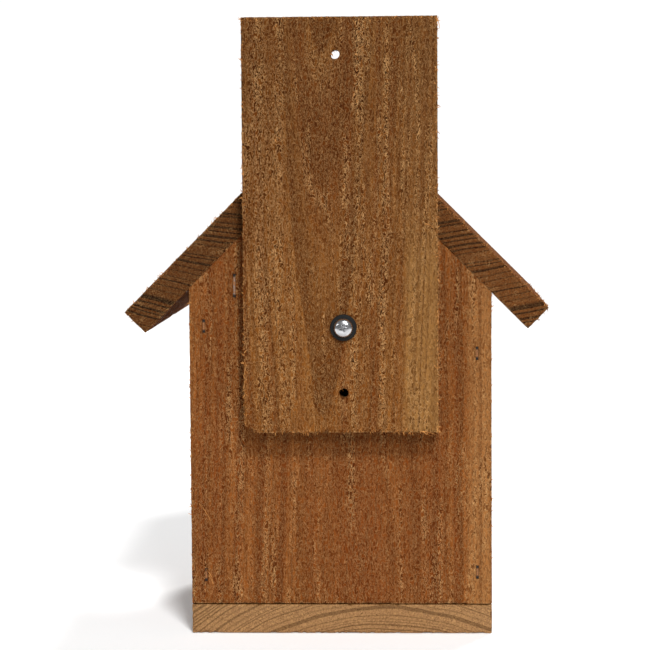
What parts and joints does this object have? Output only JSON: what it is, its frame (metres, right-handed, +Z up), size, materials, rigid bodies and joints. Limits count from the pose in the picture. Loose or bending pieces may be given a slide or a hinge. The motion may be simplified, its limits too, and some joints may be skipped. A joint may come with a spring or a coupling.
{
  "type": "birdhouse",
  "caption": "Gabled cedar nest box with an entrance hole, a front that swings out on nails, a turn button, and a mounting board that swivels on a screw behind.",
  "frame": {"origin": "middle of the floor board's underside, midway between the back wall's rear face and the side walls' front edges", "axes": "+Z up; the entrance and door face +Y, the mounting board is on the -Y side; +X is the right-hand side seen from behind, the side the turn button is on"},
  "size_m": [0.1958, 0.2091, 0.2845],
  "materials": {
    "wall_cedar": "rough-sawn, unfinished",
    "mounting_board_cedar": "rough-sawn, unfinished",
    "roof_cedar": "rough-sawn, unfinished",
    "floor_cedar": "rough-sawn, unfinished",
    "zinc_steel": "bright zinc plate",
    "button_steel": "zinc plate, tumbled",
    "nail_steel": "galvanised",
    "staple_steel": "galvanised wire",
    "black_rubber": "matt"
  },
  "bodies": {
    "house": {"back_wall": "wall_cedar", "side_wall_left": "wall_cedar", "side_wall_right": "wall_cedar", "floor_board": "floor_cedar", "roof_panel_left": "roof_cedar", "roof_panel_right": "roof_cedar", "mounting_screw": "zinc_steel", "pivot_nail_left": "nail_steel", "pivot_nail_right": "nail_steel", "button_screw": "zinc_steel", "rubber_washer": "black_rubber", "back_staple_left_upper": "staple_steel", "back_staple_left_lower": "staple_steel", "back_staple_right_upper": "staple_steel", "back_staple_right_lower": "staple_steel", "label_staple": "staple_steel", "floor_staple_left_rear": "staple_steel", "floor_staple_left_middle": "staple_steel", "floor_staple_left_front": "staple_steel", "floor_staple_back_left": "staple_steel", "floor_staple_right_rear": "staple_steel", "floor_staple_right_middle": "staple_steel", "floor_staple_right_front": "staple_steel", "floor_staple_back_right": "staple_steel", "roof_staple_left_rear": "staple_steel", "roof_staple_left_middle": "staple_steel", "roof_staple_left_front": "staple_steel", "gable_staple_left_low": "staple_steel", "gable_staple_left_high": "staple_steel", "roof_staple_right_rear": "staple_steel", "roof_staple_right_middle": "staple_steel", "roof_staple_right_front": "staple_steel", "gable_staple_right_low": "staple_steel", "gable_staple_right_high": "staple_steel", "ridge_staple_rear": "staple_steel", "ridge_staple_middle": "staple_steel", "ridge_staple_front": "staple_steel"},
    "swivel_board": {"mounting_board": "mounting_board_cedar"},
    "door": {"front_door": "wall_cedar"},
    "button": {"turn_button": "button_steel"}
  },
  "joints": [
    {"name": "mounting_board_swivel", "type": "hinge", "parent": "house", "child": "swivel_board", "pos_m": [0.0021, -0.09055, 0.1437], "axis": [0, 1, 0], "continuous": true},
    {"name": "front_door_swing", "type": "hinge", "parent": "house", "child": "door", "pos_m": [0, 0.0695, 0.13996], "axis": [1, 0, 0], "range_deg": [0, 115]},
    {"name": "turn_button_turn", "type": "hinge", "parent": "house", "child": "button", "pos_m": [0.0631, 0.07705, 0.052], "axis": [0, 1, 0], "continuous": true}
  ]
}
